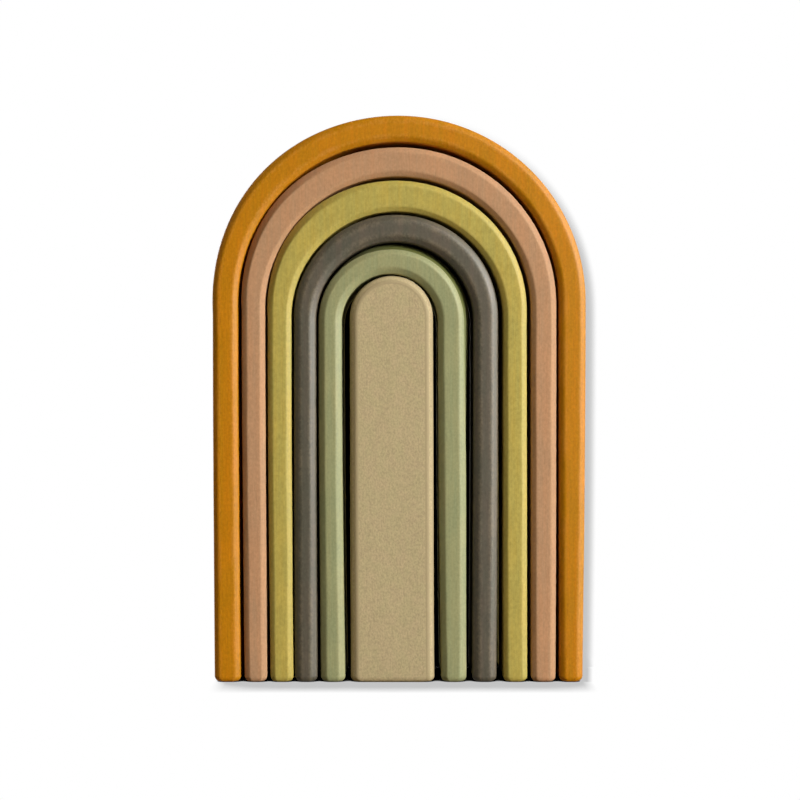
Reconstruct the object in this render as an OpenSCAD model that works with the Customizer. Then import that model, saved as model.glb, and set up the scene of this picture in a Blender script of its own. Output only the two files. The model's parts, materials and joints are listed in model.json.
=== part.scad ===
// Rainbow stacker: a solid block with a round top, and long-legged wooden arches nested around it.
// Each arch is sized from the piece inside it, so the nest grows outwards and always fits.
// Millimetres. X is the width, Y the depth with the front at -Y, and Z is up from the feet.

/* [Whole nest] */
// Depth of every piece, front to back
depth = 40; // [25:1:70]
// Depth of the bevels round the faces, as a share of their width
bevel_slope = 0.6; // [0.4:0.05:1]
// Bevel on the front and back edges of the feet
foot_edge = 1.4; // [0.5:0.1:3]
// Bevel on the side corners of the feet
foot_corner = 2.2; // [0.5:0.1:3]

/* [Centre block] */
// Width of the block
core_width = 31.4; // [20:0.2:60]
// Height of the block
core_height = 153; // [90:1:220]
// Bevel round the front and back faces
core_bevel = 2.2; // [0.5:0.1:3]
// Sideways rest place in the sage arch, as a share of the play
core_slide = 0.25; // [-0.7:0.05:0.7]

/* [Sage arch] */
// Thickness of the left leg
sage_left = 8.7; // [7:0.1:16]
// Thickness of the right leg
sage_right = 10.5; // [7:0.1:16]
// Thickness at the top of the crown
sage_crown = 10.1; // [7:0.1:18]
// Play on each side of the centre block
sage_play = 2.45; // [1:0.05:4]
// Play above the centre block
sage_rise = 0.7; // [0.5:0.1:4]
// Bevel round the front and back faces
sage_bevel = 2.4; // [0.5:0.1:3]
// Sideways rest place in the grey arch, as a share of the play
sage_slide = -0.5; // [-0.7:0.05:0.7]

/* [Grey arch] */
// Thickness of the left leg
grey_left = 8.4; // [7:0.1:16]
// Thickness of the right leg
grey_right = 9.3; // [7:0.1:16]
// Thickness at the top of the crown
grey_crown = 10.3; // [7:0.1:18]
// Play on each side of the sage arch
grey_play = 1.95; // [1:0.05:4]
// Play above the sage arch
grey_rise = 2; // [0.5:0.1:4]
// Bevel round the front and back faces
grey_bevel = 2.4; // [0.5:0.1:3]
// Sideways rest place in the olive arch, as a share of the play
grey_slide = -0.3; // [-0.7:0.05:0.7]

/* [Olive arch] */
// Thickness of the left leg
olive_left = 8.9; // [7:0.1:16]
// Thickness of the right leg
olive_right = 9; // [7:0.1:16]
// Thickness at the top of the crown
olive_crown = 11.7; // [7:0.1:18]
// Play on each side of the grey arch
olive_play = 1.35; // [1:0.05:4]
// Play above the grey arch
olive_rise = 1.1; // [0.5:0.1:4]
// Bevel round the front and back faces
olive_bevel = 1.9; // [0.5:0.1:3]
// Sideways rest place in the rose arch, as a share of the play
olive_slide = -0.25; // [-0.7:0.05:0.7]

/* [Rose arch] */
// Thickness of the left leg
rose_left = 8.8; // [7:0.1:16]
// Thickness of the right leg
rose_right = 9.5; // [7:0.1:16]
// Thickness at the top of the crown
rose_crown = 11; // [7:0.1:18]
// Play on each side of the olive arch
rose_play = 1.3; // [1:0.1:4]
// Play above the olive arch
rose_rise = 1.5; // [0.5:0.1:4]
// Bevel round the front and back faces
rose_bevel = 2; // [0.5:0.1:3]
// Sideways rest place in the ochre arch, as a share of the play
rose_slide = 0.2; // [-0.7:0.05:0.7]

/* [Ochre arch] */
// Thickness of the left leg
ochre_left = 9.6; // [7:0.05:16]
// Thickness of the right leg
ochre_right = 10.15; // [7:0.05:16]
// Thickness at the top of the crown
ochre_crown = 10.1; // [7:0.1:18]
// Play on each side of the rose arch
ochre_play = 1.2; // [1:0.1:4]
// Play above the rose arch
ochre_rise = 1.95; // [0.5:0.05:4]
// Bevel round the front and back faces
ochre_bevel = 2; // [0.5:0.1:3]

/* [Hidden] */
$fn = 160;

// How far a cutting shape runs past the piece that it cuts
past = 1;
half_depth = depth / 2;

// Places of the pieces in the lists, counted from the inside of the nest
core = 0;
sage = 1;
grey = 2;
olive = 3;
rose = 4;
ochre = 5;

// The block counts as an arch with no hollow: its half width and height stand for a leg and a crown
left_legs = [core_width / 2, sage_left, grey_left, olive_left, rose_left, ochre_left];
right_legs = [core_width / 2, sage_right, grey_right, olive_right, rose_right, ochre_right];
crowns = [core_height, sage_crown, grey_crown, olive_crown, rose_crown, ochre_crown];
plays = [0, sage_play, grey_play, olive_play, rose_play, ochre_play];
rises = [0, sage_rise, grey_rise, olive_rise, rose_rise, ochre_rise];
bevels = [core_bevel, sage_bevel, grey_bevel, olive_bevel, rose_bevel, ochre_bevel];
slides = [core_slide, sage_slide, grey_slide, olive_slide, rose_slide, 0];

// Half widths and heights of each piece, outside and in its hollow
function outer_half(piece) = inner_half(piece) + (left_legs[piece] + right_legs[piece]) / 2;
function inner_half(piece) = piece == core ? 0 : outer_half(piece - 1) + plays[piece];
function outer_top(piece) = inner_top(piece) + crowns[piece];
function inner_top(piece) = piece == core ? 0 : outer_top(piece - 1) + rises[piece];

// Centre line of each piece: the outermost arch stands on the middle of the nest
function centre_x(piece) =
    piece == ochre ? 0 : hollow_x(piece + 1) + slides[piece] * plays[piece + 1];

// Centre line of an arch's hollow, which lies off the middle where its legs differ
function hollow_x(piece) = centre_x(piece) + (left_legs[piece] - right_legs[piece]) / 2;

// Plan of a solid, with its four upright edges bevelled
function bevelled_plan(half, bevel) = let (side = half_depth - bevel_slope * bevel) [
    [half - bevel, -half_depth],
    [half, -side],
    [half, side],
    [half - bevel, half_depth],
    [bevel - half, half_depth],
    [-half, side],
    [-half, -side],
    [bevel - half, -half_depth]
];

// Plan of a hollow, whose front and back mouths flare by the bevel and run on past both faces
function flared_plan(half, bevel) = let (
    side = half_depth - bevel_slope * bevel,
    mouth = half + bevel + past / bevel_slope
) [
    [mouth, -half_depth - past],
    [half, -side],
    [half, side],
    [mouth, half_depth + past],
    [-mouth, half_depth + past],
    [-half, side],
    [-half, -side],
    [-mouth, -half_depth - past]
];

// The right half of a plan, closed along the middle
function right_half(plan) = concat(
    [[0, plan[0][1]]],
    [for (point = plan) if (point[0] > 0) point],
    [[0, plan[3][1]]]
);

// Straight sides up to the spring line, and a half round on top
module round_topped(plan, half, top) {
    spring = top - half;
    translate([0, 0, spring])
        rotate([90, 0, 0])
            rotate_extrude(angle = 180)
                polygon(right_half(plan));
    translate([0, 0, -past])
        linear_extrude(height = spring + past)
            polygon(plan);
}

// Room above the floor, with the outer edges of the feet bevelled off
module above_feet(half, top) {
    reach = half + past;
    back = half_depth + past;
    high = top + past;
    intersection() {
        rotate([90, 0, 0])
            linear_extrude(height = 2 * back, center = true)
                polygon([
                    [foot_corner - half, 0],
                    [half - foot_corner, 0],
                    [reach, foot_corner + past],
                    [reach, high],
                    [-reach, high],
                    [-reach, foot_corner + past]
                ]);
        rotate([90, 0, 90])
            linear_extrude(height = 2 * reach, center = true)
                polygon([
                    [foot_edge - half_depth, 0],
                    [half_depth - foot_edge, 0],
                    [back, foot_edge + past],
                    [back, high],
                    [-back, high],
                    [-back, foot_edge + past]
                ]);
    }
}

// Cut that bevels the inner corners of two feet
module between_feet(half) {
    wide = half + foot_corner + past;
    narrow = half - past;
    rotate([90, 0, 0])
        linear_extrude(height = depth + 2 * past, center = true)
            polygon([
                [-wide, -past],
                [wide, -past],
                [narrow, foot_corner + past],
                [-narrow, foot_corner + past]
            ]);
}

// Outside of one piece, as if it had no hollow
module outer_form(piece) {
    half = outer_half(piece);
    top = outer_top(piece);
    translate([centre_x(piece), 0, 0])
        intersection() {
            round_topped(bevelled_plan(half, bevels[piece]), half, top);
            above_feet(half, top);
        }
}

// Hollow of one arch, which the piece inside it fills but for its play
module hollow(piece) {
    half = inner_half(piece);
    translate([hollow_x(piece), 0, 0]) {
        round_topped(flared_plan(half, bevels[piece]), half, inner_top(piece));
        between_feet(half);
    }
}

module arch(piece) {
    difference() {
        outer_form(piece);
        hollow(piece);
    }
}

module centre_block() {
    color("#b4a17a")
        outer_form(core);
}

module sage_arch() {
    color("#93956b")
        arch(sage);
}

module grey_arch() {
    color("#5d574a")
        arch(grey);
}

module olive_arch() {
    color("#b29f4f")
        arch(olive);
}

module rose_arch() {
    color("#b88a64")
        arch(rose);
}

module ochre_arch() {
    color("#b97a14")
        arch(ochre);
}

centre_block();
sage_arch();
grey_arch();
olive_arch();
rose_arch();
ochre_arch();
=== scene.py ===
"""Looks of a wooden rainbow stacker: five painted arches nested around a block of natural wood."""
import json
import math

import bmesh
import bpy
from bpy.props import FloatProperty, FloatVectorProperty, PointerProperty
from bpy.types import Operator, Panel, PropertyGroup
from mathutils import Matrix, Vector, noise


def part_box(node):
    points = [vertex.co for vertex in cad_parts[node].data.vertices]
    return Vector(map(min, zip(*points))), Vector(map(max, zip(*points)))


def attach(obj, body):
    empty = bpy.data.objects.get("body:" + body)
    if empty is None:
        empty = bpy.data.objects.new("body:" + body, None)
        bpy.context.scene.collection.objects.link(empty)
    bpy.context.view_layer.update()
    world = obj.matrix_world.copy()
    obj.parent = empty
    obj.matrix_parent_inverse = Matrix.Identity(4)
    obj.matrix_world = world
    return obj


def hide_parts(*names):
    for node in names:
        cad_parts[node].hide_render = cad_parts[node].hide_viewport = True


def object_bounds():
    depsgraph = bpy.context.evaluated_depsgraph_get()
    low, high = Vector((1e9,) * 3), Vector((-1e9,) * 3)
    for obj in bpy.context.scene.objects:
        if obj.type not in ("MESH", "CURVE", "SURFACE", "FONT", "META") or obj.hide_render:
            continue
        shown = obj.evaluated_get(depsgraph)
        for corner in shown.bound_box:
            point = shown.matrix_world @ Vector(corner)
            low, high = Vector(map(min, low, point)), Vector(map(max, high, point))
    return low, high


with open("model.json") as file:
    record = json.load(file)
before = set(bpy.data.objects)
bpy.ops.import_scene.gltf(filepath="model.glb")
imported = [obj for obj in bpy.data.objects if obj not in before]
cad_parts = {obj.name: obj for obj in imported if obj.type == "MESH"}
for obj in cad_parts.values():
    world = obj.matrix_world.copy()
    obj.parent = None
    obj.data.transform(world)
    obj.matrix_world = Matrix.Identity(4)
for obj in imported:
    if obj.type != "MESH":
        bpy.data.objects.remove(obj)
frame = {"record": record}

bl_info = {
    "name": "Rainbow stacker",
    "version": (1, 0, 0),
    "blender": (4, 5, 0),
    "location": "3D View > Sidebar > Stacker",
    "description": "Builds a nest of painted wooden arches around a block of natural wood",
    "category": "Object",
}

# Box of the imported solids, and the colours that the record gives to their slots
CAD_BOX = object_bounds()
SLOT_COLOURS = {entry["slot"]: entry["base_color"] for entry in frame["record"]["materials"]}
MM = 0.001

# Names of the pieces from the inside of the nest outwards, and of the block's wood in the record
BLOCK = "centre_block"
BARE_WOOD = "natural_wood"
ARCHES = ("sage_arch", "grey_arch", "olive_arch", "rose_arch", "ochre_arch")

# Attributes that are 1 on sanded edges and on a flared rim's strip of painted shade, and 0 elsewhere
EDGE_MARK = "sanded_edge"
RIM_PAINTED_SHADE_MARK = "soaked_grain"

# Steps of the meshes
SANDED_STEPS = 3
LEG_STEPS = 30
CROWN_STEPS = 72
FOOT_STEPS = 5
MOST_CUTS = 9
CUT_SPACING = 0.9 * MM

# Points closer than this count as one, while the block is made and in a finished mesh, and an edge
# shorter than the last is dropped
LOOSE_WELD = 0.01 * MM
CLOSE_WELD = 0.002 * MM
NO_LENGTH = 0.001 * MM

# Painted shade on the paper: each entry paints it darker where it finds pieces near: how far it looks,
# towards which side, the shares of open room at which the paper is darkest and white, and how dark it
# gets. In the gaps between the pieces the painted shade is black. across says where a shade starts, is
# full, starts to fade and ends, from left to right. deep says it from front to back, and slant says how
# far across moves to the right from front to back.
FRONT_PAINTED_SHADE = {
    "reach": 26 * MM,
    "lean": (-0.35, 0.6, 0.72),
    "limits": (0.5, 0.97),
    "darkest": 0.55,
    "across": (-70 * MM, -65 * MM, 69 * MM, 73 * MM),
}
SIDE_PAINTED_SHADE = {
    "reach": 9 * MM,
    "lean": (-0.8, -0.1, 0.6),
    "limits": (0.72, 0.97),
    "darkest": 0.55,
    "across": (66 * MM, 69 * MM, 72.8 * MM, 75 * MM),
    "slant": 0.105,
    "deep": (-22 * MM, -17.5 * MM, 60 * MM, 80 * MM),
}
FLOOR_GAP_PAINTED_SHADE = {
    "reach": 45 * MM,
    "lean": (0.0, -0.52, 0.85),
    "limits": (0.33, 0.46),
    "darkest": 0.0,
    "deep": (-24 * MM, -23 * MM, 20.6 * MM, 21 * MM),
}
REAR_PAINTED_SHADE = {
    "reach": 30 * MM,
    "lean": (-0.35, -0.6, 0.72),
    "limits": (0.5, 0.97),
    "darkest": 0.55,
    "across": (-74 * MM, -62 * MM, 62 * MM, 74 * MM),
    "deep": (20.6 * MM, 21 * MM, 60 * MM, 80 * MM),
}
BACK_PAINTED_SHADE = {
    "reach": 9 * MM,
    "lean": (-0.8, -0.4, 0.33),
    "limits": (0.72, 0.97),
    "darkest": 0.55,
}
BACK_GAP_PAINTED_SHADE = {
    "reach": 45 * MM,
    "lean": (0.0, -1.0, 0.0),
    "limits": (0.25, 0.45),
    "darkest": 0.0,
}
# Rays with which the paper looks for pieces to paint its shade
PAINTED_SHADE_RAYS = 20

# A block under the floor closes the gaps from below and carries on the nest's right side, for the paper's
# painted shade only
UNDER_LOW = Vector((-66 * MM, -20 * MM, -15 * MM))
UNDER_HIGH = Vector((68.7 * MM, 28 * MM, -0.4 * MM))

# The two sheets of paper: half their width, how far the floor lies below the feet, how far the backdrop
# stands behind the pieces, and how far below the feet it starts
PAPER_HALF = 8.0
FLOOR_DROP = 0.1 * MM
BACKDROP_GAP = 0.6 * MM
BACKDROP_DROP = 0.3 * MM

# Colours of the painted shade in the deepest gaps and of the light that the paper throws back at the
# pieces, and tint of the light from all round
PAINTED_SHADE_BLACK = (0.0, 0.0, 0.0)
PAPER_BOUNCE = (0.26, 0.21, 0.13)
AMBIENT_TINT = (1.0, 0.76, 0.42)

# Lamps: the side of the nest that each stands on, how far away, how wide it is and its tint
KEY_LAMP = {"side": (0.756, -0.568, 0.326), "distance": 2.4, "width": 0.8, "tint": (0.985, 1.0, 1.03)}
SIDE_LAMP = {"side": (0.83, -0.47, 0.3), "distance": 0.9, "width": 1.0, "tint": (1.0, 1.0, 1.0)}
BACK_LAMP = {"side": (-0.72, 0.62, 0.3), "distance": 1.2, "width": 0.7, "tint": (1.0, 1.0, 1.0)}

# Camera: the width of its sensor in millimetres, and the range that it sees
SENSOR_WIDTH = 36.0
NEAREST_SEEN = 0.01
FARTHEST_SEEN = 50.0

# Sizes of the arches that their outer boxes don't give, in millimetres.
# shoulder says how far four lines of the crown stray outwards at its upper left:
# the edge of the hollow, the two borders of the face, and the outer edge.
# foot_shift says how far the feet stray to the right of a straight leg:
# the left leg's outer and inner side, then the right leg's inner and outer side.
ARCH_SIZES = {
    "sage_arch": {
        "left_leg": 8.7,
        "right_leg": 10.5,
        "crown": 10.1,
        "bevel": 2.4,
        "softness": 0.45,
        "flare": 2.2,
        "shoulder": (0.0, 0.0, 0.0, 0.0),
        "foot_shift": (0.9, 1.4, 1.2, 0.2),
    },
    "grey_arch": {
        "left_leg": 8.4,
        "right_leg": 9.3,
        "crown": 10.3,
        "bevel": 2.4,
        "softness": 0.6,
        "flare": 0.0,
        "shoulder": (0.0, 0.0, 0.0, 0.0),
        "foot_shift": (0.5, 0.6, -0.5, -0.7),
    },
    "olive_arch": {
        "left_leg": 8.9,
        "right_leg": 9.0,
        "crown": 11.7,
        "bevel": 1.9,
        "softness": 0.4,
        "flare": 0.0,
        "shoulder": (0.0, 0.0, 0.4, 1.3),
        "foot_shift": (1.1, 0.8, 0.1, 0.2),
    },
    "rose_arch": {
        "left_leg": 8.8,
        "right_leg": 9.5,
        "crown": 11.0,
        "bevel": 2.0,
        "softness": 0.4,
        "flare": 0.0,
        "shoulder": (0.4, -0.4, 0.8, 1.6),
        "foot_shift": (1.2, 0.8, 0.0, -0.3),
    },
    "ochre_arch": {
        "left_leg": 9.6,
        "right_leg": 10.15,
        "crown": 10.1,
        "bevel": 2.0,
        "softness": 0.55,
        "flare": 0.0,
        "shoulder": (0.3, 0.3, 0.8, 1.05),
        "foot_shift": (0.8, 1.1, 0.2, -1.2),
    },
}

# Tints of the painted grain against the paint itself, how much the wood grain tells through it, and how
# much the paint shines
PAINT_TINTS = {
    "sage_arch": {"warm": (1.07, 1.02, 0.99), "cool": (1.01, 1.04, 1.05), "grain": 0.7, "gloss": 0.11},
    "grey_arch": {"warm": (0.92, 0.85, 0.84), "cool": (0.82, 0.87, 0.84), "grain": 0.9, "gloss": 0.22},
    "olive_arch": {"warm": (1.03, 0.99, 0.93), "cool": (0.99, 1.04, 1.14), "grain": 0.8, "gloss": 0.10},
    "rose_arch": {"warm": (1.02, 1.03, 1.02), "cool": (0.99, 1.09, 1.14), "grain": 0.7, "gloss": 0.03},
    "ochre_arch": {"warm": (1.03, 0.98, 0.50), "cool": (0.98, 1.06, 1.50), "grain": 0.9, "gloss": 0.10},
}

# What the white room adds to a paint of full gloss by reflection
ROOM_SHEEN = 0.12

# Marks in painted wood: their sizes across, deep and up, and what tells their patterns apart
PAINT_MARKS = {
    "fibre": {"size": (0.5 * MM, 0.5 * MM, 9 * MM), "seed": 0, "detail": 3.0},
    "streak": {"size": (1.8 * MM, 5 * MM, 55 * MM), "seed": 5, "bend": 0.4},
    "cloud": {"size": (7 * MM, 7 * MM, 15 * MM), "seed": 9},
    "dust": {"size": (0.9 * MM, 0.9 * MM, 1.2 * MM), "seed": 13, "detail": 3.0, "rough": 0.6},
}
PAINT_FLECKS = {"size": (1.6 * MM, 1.6 * MM, 11 * MM), "seed": 17}

# How light the coat of paint is, and how far each mark sways its lightness, hue, wear, roughness and
# height
PAINT_LEVEL = 1.02
PAINT_TONES = {"fibre": 0.34, "dust": 0.68, "cloud": 0.3, "streak": 0.18}
PAINT_HUES = {"streak": 0.6, "cloud": 0.4}
PAINT_HUE_LIMITS = (0.38, 0.62)
PAINT_WEAR = {"dust": 0.5, "cloud": 0.5}
PAINT_WEAR_LIMITS = (0.44, 0.66)
PAINT_ROUGHNESS = {"dust": 0.3, "fibre": 0.2}
PAINT_HEIGHT = {"fibre": 0.6, "dust": 0.5, "streak": 0.4, "fleck": -0.5}
PAINT_RELIEF = 0.22

# Tints of flecks and of the rim's painted shade against the paint and of rubbed edges against bare wood,
# and how strongly flecks and rubbed edges show
PAINT_FLECK_TINT = (0.45, 0.42, 0.4)
PAINT_FLECK_SHARE = 0.22
RIM_PAINTED_SHADE_TINT = (0.4, 0.42, 0.24)
RUBBED_TINT = (1.15, 1.1, 1.05)
RUBBED_SHARE = 0.09

# Marks in the oiled wood, and how far each sways its lightness, roughness and height
WOOD_MARKS = {
    "fibre": {"size": (0.5 * MM, 0.5 * MM, 5 * MM), "seed": 0, "detail": 3.0},
    "ring": {"size": (6 * MM, 9 * MM, 60 * MM), "seed": 5, "bend": 0.6},
    "mottle": {"size": (4 * MM, 4 * MM, 6 * MM), "seed": 11},
    "dust": {"size": (0.7 * MM, 0.7 * MM, 0.9 * MM), "seed": 16, "rough": 0.6},
}
WOOD_FLECKS = {"size": (2.2 * MM, 2.2 * MM, 5 * MM), "seed": 22}
WOOD_LEVEL = 1.0
WOOD_TONES = {"fibre": 0.12, "dust": 0.7, "ring": 0.08}
WOOD_ROUGHNESS = {"dust": 0.3}
WOOD_HEIGHT = {"fibre": 0.6, "dust": 0.8, "fleck": -0.8}
WOOD_RELIEF = 0.3
WOOD_GLOSS = 0.05

# Tints of the oiled wood's mottling and flecks and of the painted shade on its sanded edges, how strongly
# the flecks show, where that painted shade starts and ends, and how the dust breaks it up
MOTTLE_LIMITS = (0.36, 0.64)
MOTTLE_COOL = (1.045, 1.075, 1.06)
MOTTLE_WARM = (1.075, 1.06, 1.09)
WOOD_FLECK_TINT = (0.5, 0.42, 0.34)
WOOD_FLECK_SHARE = 0.25
EDGE_PAINTED_SHADE_TINT = (0.88, 0.87, 0.87)
EDGE_PAINTED_SHADE_LIMITS = (0.8, 1.0)
EDGE_PAINTED_SHADE_DUST = (0.2, 0.5)

# Flecks: their width as a share of the room for each, how soft their ends are, and how few of them show
FLECK_WIDTH = 0.16
FLECK_ENDS = (0.0, 0.6)
FLECK_FEW = (0.45, 0.75)

# Mean of a noise, and how deep the grain is at full relief
NOISE_MEAN = 0.5
GRAIN_DEPTH = 0.2 * MM

# Seeds that give each piece its own saw strays and grain, and how they move noise along three axes
ARCH_SAW_SEED = 17.3
BLOCK_SAW_SEED = 5.1
INNER_BEVEL_SEED = 11
OUTER_BEVEL_SEED = 23
ARCH_GRAIN_SEED = 3.7
BLOCK_GRAIN_SEED = 41.0
SAW_SEED_MOVE = (1.0, 0.37, 0.71)
GRAIN_SEED_MOVE = (1.0, 0.61, 0.23)

# Strays of the saw: the lengths of its waves along and into a piece, their number across it, the length
# of a bevel's waves, how far those of the front and the back lie apart, and how late down a leg its foot
# strays
SAW_WAVE = 50 * MM
SAW_WAVE_DEEP = 80 * MM
SAW_WAVES_ACROSS = 2
BEVEL_WAVE = 22 * MM
FACES_APART = 4
FOOT_LATENESS = 1.6

# A crown that the saw left wide behind its front: from where to where, how much of it lies inside the
# plain outline, over how many bevel widths it pulls the front in, how far it runs down the right leg, and
# how strong it is where that leg starts. Shade is painted on its rim as a dark strip, some way to the
# back.
FLARE_START = 1.9 * MM
FLARE_END = 5.4 * MM
FLARE_RIM_SHADE_DEPTH = 9 * MM
FLARE_RIM = 0.99
FLARE_INSIDE = 0.37
FLARE_PULL = 1.5
FLARE_RUN = 48 * MM
FLARE_AT_SPRING = 0.75

# Where the crowns bulge, and how closely the bulge keeps to that direction
SHOULDER_SIDE = Vector((-0.74, 0.67))
SHOULDER_FOCUS = 8

# How much deeper a bevel falls where the bulge widens it, as a share of that width
SHOULDER_DROP = 1.6


class ArchSettings(PropertyGroup):
    """Sizes and paint of one arch."""

    left_leg: FloatProperty(
        name="Left leg",
        description="Thickness of the left leg",
        default=9 * MM,
        min=4 * MM,
        unit="LENGTH",
    )
    right_leg: FloatProperty(
        name="Right leg",
        description="Thickness of the right leg",
        default=9.5 * MM,
        min=4 * MM,
        unit="LENGTH",
    )
    crown: FloatProperty(
        name="Crown",
        description="Thickness at the top of the arch",
        default=10.5 * MM,
        min=4 * MM,
        unit="LENGTH",
    )
    bevel: FloatProperty(
        name="Bevel",
        description="Width of the planed edge round the front and back faces",
        default=2 * MM,
        min=0.5 * MM,
        unit="LENGTH",
    )
    softness: FloatProperty(
        name="Softness",
        description="How far sandpaper has rounded the edges of the bevel",
        default=0.4 * MM,
        min=0.1 * MM,
        unit="LENGTH",
    )
    flare: FloatProperty(
        name="Flare",
        description="How much wider the crown is sawn behind its front",
        default=0.0,
        min=0.0,
        unit="LENGTH",
    )
    shoulder: FloatVectorProperty(
        name="Shoulder",
        description="How far four lines of the crown stray outwards at its upper left, from the hollow",
        size=4,
        default=(0.0, 0.0, 0.0, 0.0),
        unit="LENGTH",
    )
    foot_shift: FloatVectorProperty(
        name="Foot shift",
        description="How far each side of the two feet strays to the right of a straight leg",
        size=4,
        default=(0.0, 0.0, 0.0, 0.0),
        unit="LENGTH",
    )
    paint: FloatVectorProperty(
        name="Paint",
        description="Colour of the paint",
        subtype="COLOR",
        size=3,
        default=(0.4, 0.3, 0.1),
        min=0.0,
        max=1.0,
    )


class BlockSettings(PropertyGroup):
    """Sizes and wood of the centre block."""

    bevel: FloatProperty(
        name="Bevel",
        description="Width of the planed edge round the front and back faces",
        default=2.2 * MM,
        min=0.5 * MM,
        unit="LENGTH",
    )
    softness: FloatProperty(
        name="Softness",
        description="How far sandpaper has rounded the edges of the bevel",
        default=0.6 * MM,
        min=0.1 * MM,
        unit="LENGTH",
    )
    foot_shift: FloatProperty(
        name="Foot shift",
        description="How far the foot strays to the right of a straight block",
        default=0.45 * MM,
        unit="LENGTH",
    )
    wood: FloatVectorProperty(
        name="Wood",
        description="Colour of the oiled wood",
        subtype="COLOR",
        size=3,
        default=SLOT_COLOURS[BARE_WOOD],
        min=0.0,
        max=1.0,
    )


class FinishSettings(PropertyGroup):
    """Sizes and finish that all the pieces share."""

    bevel_slope: FloatProperty(
        name="Bevel slope",
        description="Depth of the planed edges, as a share of their width",
        default=0.6,
        min=0.3,
        max=1.0,
        subtype="FACTOR",
    )
    foot_corner: FloatProperty(
        name="Foot corner",
        description="Rounding of the side corners of the feet",
        default=2.2 * MM,
        min=0.5 * MM,
        unit="LENGTH",
    )
    foot_edge: FloatProperty(
        name="Foot edge",
        description="Rounding of the front and back edges of the feet",
        default=1.4 * MM,
        min=0.5 * MM,
        unit="LENGTH",
    )
    saw_wander: FloatProperty(
        name="Saw wander",
        description="How far the saw strays from its line",
        default=0.1 * MM,
        min=0.0,
        unit="LENGTH",
    )
    bevel_wander: FloatProperty(
        name="Bevel wander",
        description="How far the width of a bevel strays",
        default=0.22 * MM,
        min=0.0,
        unit="LENGTH",
    )
    paint_roughness: FloatProperty(
        name="Paint roughness",
        description="Roughness of the dried paint",
        default=0.48,
        min=0.0,
        max=1.0,
        subtype="FACTOR",
    )
    wood_roughness: FloatProperty(
        name="Wood roughness",
        description="Roughness of the oiled wood",
        default=0.62,
        min=0.0,
        max=1.0,
        subtype="FACTOR",
    )


class StageSettings(PropertyGroup):
    """Light, paper and camera."""

    paper: FloatVectorProperty(
        name="Paper",
        description="Colour of the floor and the backdrop",
        subtype="COLOR",
        size=3,
        default=(1.0, 1.0, 1.0),
        min=0.0,
        max=1.0,
    )
    key_power: FloatProperty(
        name="Key light",
        description="Power of the large light at the front right, in watts",
        default=83.6,
        min=0.0,
        unit="POWER",
    )
    side_power: FloatProperty(
        name="Side light",
        description="Power of the panel at the right that only reflections see, in watts",
        default=42.0,
        min=0.0,
        unit="POWER",
    )
    back_power: FloatProperty(
        name="Back light",
        description="Power of the light behind the nest, in watts",
        default=16.0,
        min=0.0,
        unit="POWER",
    )
    ambient: FloatProperty(
        name="Ambient",
        description="Strength of the light from all round",
        default=0.07,
        min=0.0,
        max=1.0,
        subtype="FACTOR",
    )
    camera_distance: FloatProperty(
        name="Camera distance",
        description="From the camera to the front faces",
        default=0.7,
        min=0.2,
        unit="LENGTH",
    )
    frame_width: FloatProperty(
        name="Frame width",
        description="Width of the picture at the front faces",
        default=0.30104,
        min=0.05,
        unit="LENGTH",
    )
    frame_centre: FloatVectorProperty(
        name="Frame centre",
        description="Place at the front faces that the camera looks at, across and up",
        size=2,
        default=(0.34 * MM, 106.2 * MM),
        unit="LENGTH",
    )


class StackerSettings(PropertyGroup):
    """All that can be changed on the stacker."""

    sage_arch: PointerProperty(type=ArchSettings, name="Sage arch")
    grey_arch: PointerProperty(type=ArchSettings, name="Grey arch")
    olive_arch: PointerProperty(type=ArchSettings, name="Olive arch")
    rose_arch: PointerProperty(type=ArchSettings, name="Rose arch")
    ochre_arch: PointerProperty(type=ArchSettings, name="Ochre arch")
    block: PointerProperty(type=BlockSettings, name="Centre block")
    finish: PointerProperty(type=FinishSettings, name="Finish")
    stage: PointerProperty(type=StageSettings, name="Stage")


# Mesh tools


def between(low, value, high):
    """The value, kept between two limits."""
    return max(low, min(value, high))


def new_verts(made):
    """The vertices among what an operator made."""
    return [item for item in made if isinstance(item, bmesh.types.BMVert)]


def new_edges(made):
    """The edges among what an operator made."""
    return [item for item in made if isinstance(item, bmesh.types.BMEdge)]


def trim_corners(bm, size, steps):
    """Cuts every corner of a flat outline, straight with one step or round with more."""
    bmesh.ops.bevel(
        bm,
        geom=bm.verts[:],
        offset=size,
        offset_type="OFFSET",
        segments=steps,
        profile=0.5,
        affect="VERTICES",
        material=-1,
    )


def sawn_section(bm, thickness, depth, bevel, slope, softness):
    """Outline of a piece that is cut level: planed corners, sanded edges. Gives its ring of edges."""
    corners = bmesh.ops.create_grid(bm, x_segments=1, y_segments=1, size=0.5)["verts"]
    bmesh.ops.scale(bm, vec=(thickness, depth / slope, 1.0), verts=corners)
    trim_corners(bm, bevel, 1)
    bmesh.ops.scale(bm, vec=(1.0, slope, 1.0), verts=bm.verts[:])
    trim_corners(bm, softness, SANDED_STEPS)
    bmesh.ops.delete(bm, geom=bm.faces[:], context="FACES_ONLY")
    mark = bm.verts.layers.float.new(EDGE_MARK)
    for corner in bm.verts:
        corner[mark] = 1.0
    for edge in bm.edges[:]:
        cuts = min(MOST_CUTS, int(edge.calc_length() / CUT_SPACING))
        if cuts:
            made = bmesh.ops.subdivide_edges(bm, edges=[edge], cuts=cuts)
            for vert in new_verts(made["geom_inner"]):
                vert[mark] = 0.0
    return bm.edges[:]


def drawn_on(bm, ring, move):
    """Extrudes a ring of edges by one move, and gives the new ring."""
    made = bmesh.ops.extrude_edge_only(bm, edges=ring)["geom"]
    moved = new_verts(made)
    bmesh.ops.translate(bm, vec=move, verts=moved)
    reached = set(moved)
    return [edge for edge in new_edges(made) if reached.issuperset(edge.verts)]


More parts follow.
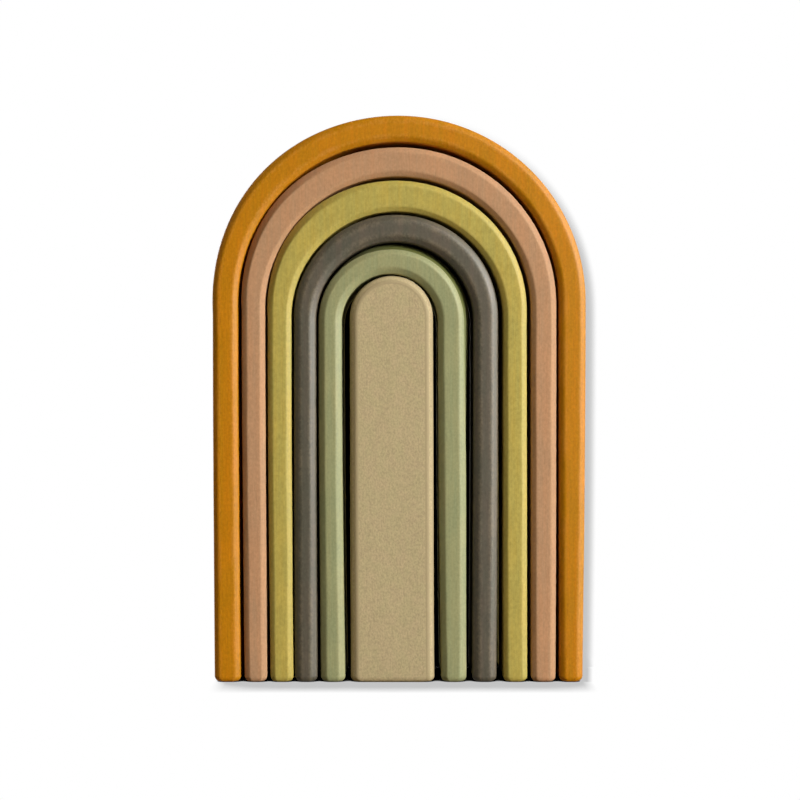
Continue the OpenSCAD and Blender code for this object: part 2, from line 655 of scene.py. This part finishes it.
def drawn_far(bm, ring, move, steps):
    """Extrudes a ring of edges in even steps, and gives the last ring."""
    for _ in range(steps):
        ring = drawn_on(bm, ring, move / steps)
    return ring


def ring_verts(ring):
    """The vertices of a ring of edges."""
    return list({vert for edge in ring for vert in edge.verts})


def rounded_foot(bm, ring, middle, half_size, finish):
    """Rounds the end of a leg in towards its underside, and closes it."""
    half_across, half_deep = half_size
    across, deep = half_across, half_deep
    drop = 0.0
    for step in range(1, FOOT_STEPS + 1):
        turn = step / FOOT_STEPS * math.pi / 2
        next_across = half_across - finish.foot_corner * (1 - math.cos(turn))
        next_deep = half_deep - finish.foot_edge * (1 - math.cos(turn))
        next_drop = finish.foot_corner * math.sin(turn)
        ring = drawn_on(bm, ring, Vector((0, 0, drop - next_drop)))
        bmesh.ops.scale(
            bm,
            vec=(next_across / across, next_deep / deep, 1),
            space=Matrix.Translation(-middle),
            verts=ring_verts(ring),
        )
        across, deep, drop = next_across, next_deep, next_drop
    bmesh.ops.edgeloop_fill(bm, edges=ring)


def wander(place, seed):
    """Smooth noise between about -1 and 1."""
    return noise.noise(place + Vector([seed * share for share in SAW_SEED_MOVE]))


class ArchLines:
    """The sawn lines of one arch: the outer ones come from its CAD node, the hollow from its legs."""

    def __init__(self, node, arch):
        low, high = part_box(node)
        self.arch = arch
        self.half_depth = (high.y - low.y) / 2
        self.outer_half = (high.x - low.x) / 2
        self.outer_x = (high.x + low.x) / 2
        self.outer_spring = high.z - self.outer_half
        self.hollow_half = self.outer_half - (arch.left_leg + arch.right_leg) / 2
        self.hollow_x = low.x + arch.left_leg + self.hollow_half
        self.hollow_spring = high.z - arch.crown - self.hollow_half
        self.thickness = (arch.left_leg + arch.right_leg) / 2

    def outer_reach(self, along):
        """Distance from the middle of the hollow's round to the outer outline, in a direction."""
        offset = Vector((self.outer_x - self.hollow_x, self.outer_spring - self.hollow_spring))
        side = offset.x + math.copysign(self.outer_half, along.x)
        if along.x and along.y * side / along.x <= offset.y:
            return side / along.x
        middle = along.dot(offset)
        return middle + math.sqrt(middle ** 2 + self.outer_half ** 2 - offset.length_squared)

    def leg(self, along):
        """Thickness of the leg on that side."""
        return self.arch.left_leg if along.x < 0 else self.arch.right_leg


def section_stray(strays, depth_in, thickness, bevel):
    """How far a point of the section strays with the four lines around it, from the hollow outwards."""
    hollow_edge, inner_border, outer_border, outer_edge = strays
    past_bevel = between(0, depth_in / bevel, 1)
    past_face = between(0, (depth_in - bevel) / (thickness - 2 * bevel), 1)
    at_edge = between(0, 1 - (thickness - depth_in) / bevel, 1)
    stray = hollow_edge + past_bevel * (inner_border - hollow_edge)
    stray += past_face * (outer_border - inner_border)
    return stray + at_edge * (outer_edge - outer_border)


def flare_place(along, rise):
    """Where a crown is flared: over its top, round to the right and some way down that leg."""
    if rise > 0:
        return between(0, along.y + FLARE_AT_SPRING * along.x, 1)
    if along.x > 0:
        return FLARE_AT_SPRING * between(0, 1 + rise / FLARE_RUN, 1)
    return 0.0


def sawn_by_hand(bm, lines, finish, seed):
    """Moves a plain bent bar onto the arch's own lines, with the small errors of hand work."""
    arch = lines.arch
    bevel = arch.bevel
    flat = lines.thickness - 2 * bevel
    rim_shade = bm.verts.layers.float.new(RIM_PAINTED_SHADE_MARK)
    for vert in bm.verts:
        side = vert.co.x - lines.hollow_x
        rise = vert.co.z - lines.hollow_spring
        in_crown = rise > 0
        along = Vector((side, rise)).normalized() if in_crown else Vector((math.copysign(1, side), 0))
        radius = math.hypot(side, rise) if in_crown else abs(side)
        reach = lines.outer_reach(along) if in_crown else lines.hollow_half + lines.leg(along)
        depth_in = radius - lines.hollow_half
        share = between(0, (depth_in - bevel) / flat, 1)
        radius += share * (reach - lines.hollow_half - lines.thickness)

        # Place along the piece, from the left foot over the crown to the right foot
        if in_crown:
            travel = math.atan2(along.x, along.y) * lines.outer_half
        else:
            travel = math.copysign(lines.outer_half * math.pi / 2 - rise, side)
        slow = Vector((travel / SAW_WAVE, vert.co.y / SAW_WAVE_DEEP, share * SAW_WAVES_ACROSS))
        radius += finish.saw_wander * wander(slow, seed)

        # Bevels that are a little wider here and narrower there
        front = math.copysign(1, vert.co.y)
        quick = Vector((travel / BEVEL_WAVE, front * FACES_APART, 0))
        inner_pull = between(0, depth_in / bevel, 1) ** 2 * (1 - share)
        outer_pull = between(0, (lines.thickness - depth_in) / bevel, 1) ** 2 * share
        on_face = abs(vert.co.y) > lines.half_depth - bevel * finish.bevel_slope - arch.softness
        if on_face:
            radius += finish.bevel_wander * inner_pull * wander(quick, seed + INNER_BEVEL_SEED)
            radius += finish.bevel_wander * outer_pull * wander(quick, seed + OUTER_BEVEL_SEED)

        # A crown that the saw left wide behind its front, and one that bulges at the upper left
        behind = vert.co.y + lines.half_depth
        outward = between(0, 1 - (lines.thickness - depth_in) / (FLARE_PULL * bevel), 1)
        flared = flare_place(along, rise) * outward if arch.flare else 0.0
        opened = between(0, (behind - FLARE_START) / (FLARE_END - FLARE_START), 1)
        radius += arch.flare * flared * (opened - FLARE_INSIDE)
        # Painted shade: the flared rim gets a dark strip, some way to the back
        if outward > FLARE_RIM and behind < FLARE_RIM_SHADE_DEPTH:
            vert[rim_shade] = flared
        bulge = between(0, along.dot(SHOULDER_SIDE), 1) ** SHOULDER_FOCUS if in_crown else 0
        radius += bulge * section_stray(arch.shoulder, depth_in, lines.thickness, bevel)
        if on_face:
            widened = arch.shoulder[3] - arch.shoulder[2]
            at_edge = between(0, 1 - (lines.thickness - depth_in) / bevel, 1)
            vert.co.y -= front * SHOULDER_DROP * widened * bulge * at_edge

        vert.co.x = lines.hollow_x + along.x * radius
        if in_crown:
            vert.co.z = lines.hollow_spring + along.y * radius
        else:
            fall = between(0, -rise / lines.hollow_spring, 1) ** FOOT_LATENESS
            outer, inner = (0, 1) if along.x < 0 else (3, 2)
            shift = arch.foot_shift[inner] * (1 - share) + arch.foot_shift[outer] * share
            vert.co.x += fall * shift


def finished_piece(bm, node, material):
    """Makes the mesh an object that stands for its CAD node and rides on its body."""
    bmesh.ops.remove_doubles(bm, verts=bm.verts[:], dist=CLOSE_WELD)
    bmesh.ops.recalc_face_normals(bm, faces=bm.faces[:])
    open_edges = [edge for edge in bm.edges if len(edge.link_faces) != 2]
    if open_edges:
        raise RuntimeError(f"{node} has {len(open_edges)} open edges")
    for face in bm.faces:
        face.smooth = True
    mesh = bpy.data.meshes.new(f"{node}_wood")
    bm.to_mesh(mesh)
    bm.free()
    piece = bpy.data.objects.new(f"{node}_wood", mesh)
    bpy.context.scene.collection.objects.link(piece)
    mesh.materials.append(material)
    flats = piece.modifiers.new("flat_faces", "WEIGHTED_NORMAL")
    flats.keep_sharp = True
    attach(piece, node)
    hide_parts(node)


def paint_slot(node):
    """Name of an arch's paint in the record."""
    return node.replace("arch", "paint")


def build_arch(node, settings):
    """One arch: a section drawn up the left leg, spun over the crown and drawn down the right leg."""
    arch = getattr(settings, node)
    finish = settings.finish
    lines = ArchLines(node, arch)
    middle = lines.hollow_half + lines.thickness / 2
    left_foot = Vector((lines.hollow_x - middle, 0, finish.foot_corner))
    right_foot = Vector((lines.hollow_x + middle, 0, finish.foot_corner))
    half_size = (lines.thickness / 2, lines.half_depth)
    climb = Vector((0, 0, lines.hollow_spring - finish.foot_corner))

    bm = bmesh.new()
    start = sawn_section(
        bm, lines.thickness, 2 * lines.half_depth, arch.bevel, finish.bevel_slope, arch.softness
    )
    bmesh.ops.translate(bm, vec=left_foot, verts=bm.verts[:])
    top = drawn_far(bm, start, climb, LEG_STEPS)
    spun = bmesh.ops.spin(
        bm,
        geom=top + ring_verts(top),
        cent=(lines.hollow_x, 0, lines.hollow_spring),
        axis=(0, 1, 0),
        angle=math.pi,
        steps=CROWN_STEPS,
        use_merge=False,
        use_duplicate=False,
    )
    end = drawn_far(bm, new_edges(spun["geom_last"]), -climb, LEG_STEPS)
    rounded_foot(bm, start, left_foot, half_size, finish)
    rounded_foot(bm, end, right_foot, half_size, finish)
    sawn_by_hand(bm, lines, finish, ARCH_SAW_SEED * (ARCHES.index(node) + 1))
    paint = painted_wood(node, arch.paint, finish.paint_roughness)
    finished_piece(bm, node, paint)


def build_block(settings):
    """The centre block: a section drawn up to the spring line, and half of it spun over the top."""
    block = settings.block
    finish = settings.finish
    low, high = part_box(BLOCK)
    half = (high.x - low.x) / 2
    half_depth = (high.y - low.y) / 2
    foot = Vector(((high.x + low.x) / 2, 0, finish.foot_corner))
    spring = high.z - half

    bm = bmesh.new()
    start = sawn_section(
        bm, 2 * half, 2 * half_depth, block.bevel, finish.bevel_slope, block.softness
    )
    bmesh.ops.translate(bm, vec=foot, verts=bm.verts[:])
    top = drawn_far(bm, start, Vector((0, 0, spring - finish.foot_corner)), LEG_STEPS)
    right = [edge for edge in top if all(vert.co.x > foot.x - LOOSE_WELD for vert in edge.verts)]
    bmesh.ops.spin(
        bm,
        geom=right + ring_verts(right),
        cent=(foot.x, 0, spring),
        axis=(0, -1, 0),
        angle=math.pi,
        steps=CROWN_STEPS,
        use_merge=False,
        use_duplicate=False,
    )
    bmesh.ops.remove_doubles(bm, verts=bm.verts[:], dist=LOOSE_WELD)
    bmesh.ops.dissolve_degenerate(bm, edges=bm.edges[:], dist=NO_LENGTH)
    floor_line = foot.z + LOOSE_WELD
    low_ring = [edge for edge in bm.edges if all(vert.co.z < floor_line for vert in edge.verts)]
    rounded_foot(bm, low_ring, foot, (half, half_depth), finish)
    for vert in bm.verts:
        across = (vert.co.x - foot.x) / half
        slow = Vector((across * SAW_WAVES_ACROSS, vert.co.y / SAW_WAVE_DEEP, vert.co.z / SAW_WAVE))
        vert.co.x += finish.saw_wander * wander(slow, BLOCK_SAW_SEED) * abs(across)
        fall = between(0, 1 - vert.co.z / spring, 1) ** FOOT_LATENESS
        vert.co.x += block.foot_shift * fall
    finished_piece(bm, BLOCK, oiled_wood(block.wood, finish.wood_roughness))


# Shader tools


class Wire:
    """The value of one shader socket. Arithmetic on it adds Math nodes."""

    def __init__(self, bench, socket):
        self.bench = bench
        self.socket = socket

    def output(self, name):
        """Another output of the same node."""
        return Wire(self.bench, self.socket.node.outputs[name])

    def sum(self, operation, first, second):
        """What a Math node makes of two values."""
        return self.bench.node("ShaderNodeMath", {"operation": operation}, {0: first, 1: second})

    def __add__(self, other):
        return self.sum("ADD", self, other)

    def __radd__(self, other):
        return self.sum("ADD", other, self)

    def __sub__(self, other):
        return self.sum("SUBTRACT", self, other)

    def __rsub__(self, other):
        return self.sum("SUBTRACT", other, self)

    def __mul__(self, other):
        return self.sum("MULTIPLY", self, other)

    def __rmul__(self, other):
        return self.sum("MULTIPLY", other, self)

    def __truediv__(self, other):
        return self.sum("DIVIDE", self, other)

    def __rtruediv__(self, other):
        return self.sum("DIVIDE", other, self)


class Bench:
    """A node tree in which a finish is mixed."""

    def __init__(self, owner):
        owner.use_nodes = True
        self.tree = owner.node_tree
        self.tree.nodes.clear()

    def node(self, kind, settings=None, sockets=None, output=0):
        """Adds a node: its settings first, then the values or wires of its sockets."""
        made = self.tree.nodes.new(kind)
        for name, value in (settings or {}).items():
            if name == "stops":
                self.set_stops(made.color_ramp, value)
            else:
                setattr(made, name, value)
        for name, value in (sockets or {}).items():
            if isinstance(value, Wire):
                self.tree.links.new(value.socket, made.inputs[name])
            else:
                made.inputs[name].default_value = value
        return Wire(self, made.outputs[output]) if made.outputs else None

    @staticmethod
    def set_stops(ramp, stops):
        """Gives a colour ramp its stops, each a place and a grey level."""
        while len(ramp.elements) < len(stops):
            ramp.elements.new(1.0)
        for element, (place, level) in zip(ramp.elements, stops):
            element.position = place
            element.color = (level, level, level, 1.0)

    def blend(self, share, first, second, how="MIX"):
        """Mixes two colours."""
        sockets = {0: share, 6: first, 7: second}
        settings = {"data_type": "RGBA", "blend_type": how, "clamp_factor": True}
        return self.node("ShaderNodeMix", settings, sockets, output=2)

    def ramp(self, value, low, high):
        """0 below low, 1 above high and even between them."""
        return self.node("ShaderNodeValToRGB", {"stops": ((low, 0.0), (high, 1.0))}, {"Fac": value})

    def stretched(self, place, size, seed):
        """Object coordinates in steps of a size, in metres, shifted by a seed."""
        sockets = {
            "Vector": place,
            "Location": tuple(seed * share for share in GRAIN_SEED_MOVE),
            "Scale": tuple(1 / length for length in size),
        }
        return self.node("ShaderNodeMapping", {"vector_type": "POINT"}, sockets)

    def noise(self, place, size, seed, detail=2.0, rough=0.5, bend=0.0):
        """Smooth noise about 0.5, with spots of a size in metres."""
        sockets = {
            "Vector": self.stretched(place, size, seed),
            "Scale": 1.0,
            "Detail": detail,
            "Roughness": rough,
            "Distortion": bend,
        }
        return self.node("ShaderNodeTexNoise", {"noise_dimensions": "3D"}, sockets)

    def flecks(self, place, size, seed):
        """Short dark dashes of the wood's rays, with a size in metres from one to the next."""
        cells = self.node(
            "ShaderNodeTexVoronoi",
            {"voronoi_dimensions": "3D", "feature": "F1"},
            {"Vector": self.stretched(place, size, seed), "Scale": 1.0, "Randomness": 1.0},
        )
        spot = 1 - cells / FLECK_WIDTH
        kept = self.ramp(cells.output("Color"), *FLECK_FEW)
        return self.ramp(spot, *FLECK_ENDS) * kept

    def marks(self, kinds, flecks, seed):
        """All the marks of a wood by name, each with its own pattern on the piece's own coordinates."""
        place = self.node("ShaderNodeTexCoord", output="Object")
        found = {}
        for name, kind in kinds.items():
            look = {key: value for key, value in kind.items() if key not in ("size", "seed")}
            found[name] = self.noise(place, kind["size"], seed + kind["seed"], **look)
        found["fleck"] = self.flecks(place, flecks["size"], seed + flecks["seed"])
        return found

    def attribute(self, name):
        """A value that is stored in the points of the mesh."""
        return self.node("ShaderNodeAttribute", {"attribute_name": name}, output="Fac")


def colour(values):
    """A colour with full alpha."""
    return (values[0], values[1], values[2], 1.0)


def tinted(values, tint):
    """A colour times a tint, channel by channel."""
    return colour([value * share for value, share in zip(values, tint)])


def swayed(level, marks, shares, strength=1.0):
    """A level that each mark pushes up and down by its share."""
    for name, share in shares.items():
        level = level + (marks[name] - NOISE_MEAN) * (share * strength)
    return level


def matte_surface(bench, paint, roughness, gloss, height, relief):
    """Closes a finish: a dull surface with the fine relief of its grain."""
    grain = bench.node(
        "ShaderNodeBump",
        None,
        {"Strength": relief, "Distance": GRAIN_DEPTH, "Height": height},
    )
    shader = bench.node(
        "ShaderNodeBsdfPrincipled",
        None,
        {
            "Base Color": paint,
            "Roughness": roughness,
            "Specular IOR Level": gloss,
            "Normal": grain,
        },
    )
    bench.node("ShaderNodeOutputMaterial", None, {"Surface": shader})


def painted_wood(node, paint, roughness):
    """Thin matte paint on solid wood: the upright grain tells through it, edges are rubbed thin, and a
    rim gets painted shade.
    """
    tints = PAINT_TINTS[node]
    grain = tints["grain"]
    gloss = tints["gloss"]

    # The paint is mixed darker by the sheen that the white room lays over it
    paint = [max(0.0, part - ROOM_SHEEN * gloss) for part in paint]
    material = bpy.data.materials.new(paint_slot(node))
    bench = Bench(material)
    marks = bench.marks(PAINT_MARKS, PAINT_FLECKS, ARCH_GRAIN_SEED * (ARCHES.index(node) + 1))

    hue = bench.ramp(swayed(NOISE_MEAN, marks, PAINT_HUES), *PAINT_HUE_LIMITS)
    coat = bench.blend(hue, tinted(paint, tints["cool"]), tinted(paint, tints["warm"]))
    coat = bench.blend(1.0, coat, swayed(PAINT_LEVEL, marks, PAINT_TONES, grain), "MULTIPLY")
    flecked = marks["fleck"] * (PAINT_FLECK_SHARE * grain)
    coat = bench.blend(flecked, coat, tinted(paint, PAINT_FLECK_TINT))
    worn = bench.ramp(swayed(NOISE_MEAN, marks, PAINT_WEAR), *PAINT_WEAR_LIMITS)
    rubbed = bench.attribute(EDGE_MARK) * worn * RUBBED_SHARE
    coat = bench.blend(rubbed, coat, tinted(SLOT_COLOURS[BARE_WOOD], RUBBED_TINT))
    # Painted shade: the flared rim's strip is mixed darker
    coat = bench.blend(bench.attribute(RIM_PAINTED_SHADE_MARK), coat, tinted(paint, RIM_PAINTED_SHADE_TINT))

    rough = swayed(roughness, marks, PAINT_ROUGHNESS)
    matte_surface(bench, coat, rough, gloss, swayed(0.0, marks, PAINT_HEIGHT), PAINT_RELIEF)
    return material


def oiled_wood(wood, roughness):
    """Pale close-grained wood with an oiled face: fine upright pores, dark rays, soft mottling, painted
    shade on edges.
    """
    material = bpy.data.materials.new(BARE_WOOD)
    bench = Bench(material)
    marks = bench.marks(WOOD_MARKS, WOOD_FLECKS, BLOCK_GRAIN_SEED)

    hue = bench.ramp(marks["mottle"], *MOTTLE_LIMITS)
    board = bench.blend(hue, tinted(wood, MOTTLE_COOL), tinted(wood, MOTTLE_WARM))
    board = bench.blend(1.0, board, swayed(WOOD_LEVEL, marks, WOOD_TONES), "MULTIPLY")
    board = bench.blend(marks["fleck"] * WOOD_FLECK_SHARE, board, tinted(wood, WOOD_FLECK_TINT))
    # Painted shade: the sanded edges are mixed darker, broken up by the dust
    edge = bench.ramp(bench.attribute(EDGE_MARK), *EDGE_PAINTED_SHADE_LIMITS)
    edge_painted_shade = edge * bench.ramp(marks["dust"], *EDGE_PAINTED_SHADE_DUST)
    board = bench.blend(edge_painted_shade, board, tinted(wood, EDGE_PAINTED_SHADE_TINT))

    rough = swayed(roughness, marks, WOOD_ROUGHNESS)
    matte_surface(bench, board, rough, WOOD_GLOSS, swayed(0.0, marks, WOOD_HEIGHT), WOOD_RELIEF)
    return material


def seen_by_eye(bench):
    """1 where the camera, a reflection or a clear piece looks, and 0 where light is gathered."""
    path = bench.node("ShaderNodeLightPath", output="Is Camera Ray")
    return path + path.output("Is Glossy Ray") + path.output("Is Transmission Ray")


def painted_paper_light(bench, shade):
    """Painted shade: how light the paper is near the pieces, from 0 to 1. It looks for them within a
    reach.
    """
    across, deep, up = shade["lean"]
    toward = bench.node("ShaderNodeCombineXYZ", None, {"X": across, "Y": deep, "Z": up})
    sockets = {"Distance": shade["reach"], "Normal": toward}
    room = bench.node("ShaderNodeAmbientOcclusion", {"samples": PAINTED_SHADE_RAYS}, sockets, output="AO")
    dark = (1 - bench.ramp(room, *shade["limits"])) * (1 - shade["darkest"])
    place = bench.node("ShaderNodeTexCoord", output="Object")
    side = bench.node("ShaderNodeSeparateXYZ", None, {"Vector": place}, output="X")
    back = side.output("Y")
    if "across" in shade:
        dark = dark * kept_within(bench, side - back * shade.get("slant", 0.0), *shade["across"])
    if "deep" in shade:
        dark = dark * kept_within(bench, back, *shade["deep"])
    return 1 - dark


def kept_within(bench, along, start, full, fade, end):
    """1 between two places along the paper, and 0 a little way outside them: where a painted shade falls.
    """
    before = bench.ramp((along - start) / (full - start), 0.0, 1.0)
    after = bench.ramp((end - along) / (end - fade), 0.0, 1.0)
    return before * after


def paper_with_painted_shade(name, paper, shades):
    """White paper with painted shade, soft near the pieces and black in their gaps. Its back isn't seen.
    """
    material = bpy.data.materials.new(name)
    bench = Bench(material)
    light = painted_paper_light(bench, shades[0])
    for shade in shades[1:]:
        light = light.sum("MINIMUM", light, painted_paper_light(bench, shade))
    # The eye sees the paper glow with its painted shade: black in the gaps, grey near the pieces
    seen = bench.blend(light, colour(PAINTED_SHADE_BLACK), colour(paper))
    glow = bench.node("ShaderNodeEmission", None, {"Color": seen, "Strength": 1.0})
    card = bench.node("ShaderNodeBsdfDiffuse", None, {"Color": colour(PAPER_BOUNCE)})
    front = bench.node("ShaderNodeMixShader", None, {0: seen_by_eye(bench), 1: card, 2: glow})
    away = bench.node("ShaderNodeNewGeometry", output="Backfacing")
    clear = bench.node("ShaderNodeBsdfTransparent")
    both = bench.node("ShaderNodeMixShader", None, {0: away, 1: front, 2: clear})
    bench.node("ShaderNodeOutputMaterial", None, {"Surface": both})
    return material


# Stage


def stage_object(bm, name, material):
    """Makes a mesh an object of the stage."""
    mesh = bpy.data.meshes.new(name)
    bm.to_mesh(mesh)
    bm.free()
    mesh.materials.append(material)
    made = bpy.data.objects.new(name, mesh)
    bpy.context.scene.collection.objects.link(made)
    return made


def flat_sheet(name, place, turn, material):
    """A large flat sheet of paper."""
    bm = bmesh.new()
    bmesh.ops.create_grid(bm, x_segments=1, y_segments=1, size=PAPER_HALF)
    bmesh.ops.rotate(bm, matrix=Matrix.Rotation(turn, 3, "X"), verts=bm.verts[:])
    bmesh.ops.translate(bm, vec=place, verts=bm.verts[:])
    return stage_object(bm, name, material)


def under_floor(material):
    """The block under the floor, which only the paper's search for painted shade meets."""
    bm = bmesh.new()
    bmesh.ops.create_cube(bm, size=1.0)
    bmesh.ops.scale(bm, vec=UNDER_HIGH - UNDER_LOW, verts=bm.verts[:])
    bmesh.ops.translate(bm, vec=(UNDER_LOW + UNDER_HIGH) / 2, verts=bm.verts[:])
    block = stage_object(bm, "under_floor", material)
    block.visible_camera = False
    block.visible_diffuse = False
    block.visible_glossy = False
    block.visible_transmission = False


def lamp(name, power, look, target):
    """A square studio light that faces the nest."""
    toward = Vector(look["side"])
    light = bpy.data.lights.new(name, "AREA")
    light.shape = "SQUARE"
    light.size = look["width"]
    light.energy = power
    light.color = look["tint"]
    holder = bpy.data.objects.new(name, light)
    holder.location = target + toward.normalized() * look["distance"]
    holder.rotation_euler = toward.to_track_quat("Z", "Y").to_euler()
    holder.visible_camera = False
    bpy.context.scene.collection.objects.link(holder)
    return holder


def build_stage(stage):
    """Paper floor and backdrop with painted shade, three studio lights, soft light all round and the
    camera.
    """
    scene = bpy.context.scene
    scene.view_settings.view_transform = "Standard"
    low, high = CAD_BOX
    target = (low + high) / 2

    world = bpy.data.worlds.new("studio")
    scene.world = world
    bench = Bench(world)
    ambient = tinted((stage.ambient,) * 3, AMBIENT_TINT)
    sky = bench.blend(seen_by_eye(bench), ambient, colour(stage.paper))
    bench.node(
        "ShaderNodeOutputWorld",
        None,
        {"Surface": bench.node("ShaderNodeBackground", None, {"Color": sky, "Strength": 1.0})},
    )

    floor_painted_shades = (FLOOR_GAP_PAINTED_SHADE, FRONT_PAINTED_SHADE, SIDE_PAINTED_SHADE, REAR_PAINTED_SHADE)
    floor_painted_shade_paper = paper_with_painted_shade("floor_painted_shade_paper", stage.paper, floor_painted_shades)
    back_painted_shade_paper = paper_with_painted_shade("back_painted_shade_paper", stage.paper, (BACK_GAP_PAINTED_SHADE, BACK_PAINTED_SHADE))
    floor = flat_sheet("floor", Vector((0, 0, -FLOOR_DROP)), 0.0, floor_painted_shade_paper)
    floor.visible_shadow = False
    back_place = Vector((0, high.y + BACKDROP_GAP, PAPER_HALF - BACKDROP_DROP))
    backdrop = flat_sheet("backdrop", back_place, math.pi / 2, back_painted_shade_paper)
    backdrop.visible_diffuse = False
    backdrop.visible_transmission = False
    backdrop.visible_shadow = False
    under_floor(floor_painted_shade_paper)

    lamp("key_light", stage.key_power, KEY_LAMP, target)
    shine = lamp("side_light", stage.side_power, SIDE_LAMP, target)
    shine.visible_diffuse = False
    lamp("back_light", stage.back_power, BACK_LAMP, target)

    camera = bpy.data.cameras.new("camera")
    camera.sensor_width = SENSOR_WIDTH
    camera.lens = SENSOR_WIDTH * stage.camera_distance / stage.frame_width
    camera.clip_start = NEAREST_SEEN
    camera.clip_end = FARTHEST_SEEN
    holder = bpy.data.objects.new("camera", camera)
    across, up = stage.frame_centre
    holder.location = (across, low.y - stage.camera_distance, up)
    holder.rotation_euler = (math.pi / 2, 0, 0)
    scene.collection.objects.link(holder)
    scene.camera = holder


# Operators and panel


class STACKER_OT_block(Operator):
    """Builds the block of natural wood in the middle of the nest"""

    bl_idname = "stacker.block"
    bl_label = "Centre block"

    def execute(self, context):
        build_block(context.scene.stacker)
        return {"FINISHED"}


class STACKER_OT_arches(Operator):
    """Builds the five painted arches from the inside outwards"""

    bl_idname = "stacker.arches"
    bl_label = "Painted arches"

    def execute(self, context):
        for node in ARCHES:
            build_arch(node, context.scene.stacker)
        return {"FINISHED"}


class STACKER_OT_stage(Operator):
    """Sets up the paper, the lights and the camera"""

    bl_idname = "stacker.stage"
    bl_label = "Stage"

    def execute(self, context):
        build_stage(context.scene.stacker.stage)
        return {"FINISHED"}


OPERATORS = (STACKER_OT_block, STACKER_OT_arches, STACKER_OT_stage)


class STACKER_PT_panel(Panel):
    """Lists what can be built"""

    bl_idname = "STACKER_PT_panel"
    bl_label = "Rainbow stacker"
    bl_space_type = "VIEW_3D"
    bl_region_type = "UI"
    bl_category = "Stacker"

    def draw(self, context):
        for operator in OPERATORS:
            self.layout.operator(operator.bl_idname)


CLASSES = (
    ArchSettings,
    BlockSettings,
    FinishSettings,
    StageSettings,
    StackerSettings,
    *OPERATORS,
    STACKER_PT_panel,
)


def fill_arch_settings(settings):
    """Gives each arch its own sizes, and its paint from the record."""
    for node in ARCHES:
        arch = getattr(settings, node)
        for name, value in ARCH_SIZES[node].items():
            in_metres = [part * MM for part in value] if isinstance(value, tuple) else value * MM
            setattr(arch, name, in_metres)
        arch.paint = SLOT_COLOURS[paint_slot(node)]


def register():
    for each in CLASSES:
        bpy.utils.register_class(each)
    bpy.types.Scene.stacker = PointerProperty(type=StackerSettings)


def unregister():
    del bpy.types.Scene.stacker
    for each in reversed(CLASSES):
        bpy.utils.unregister_class(each)


def main():
    register()
    fill_arch_settings(bpy.context.scene.stacker)
    bpy.ops.stacker.block()
    bpy.ops.stacker.arches()
    bpy.ops.stacker.stage()


if __name__ == "__main__":
    main()
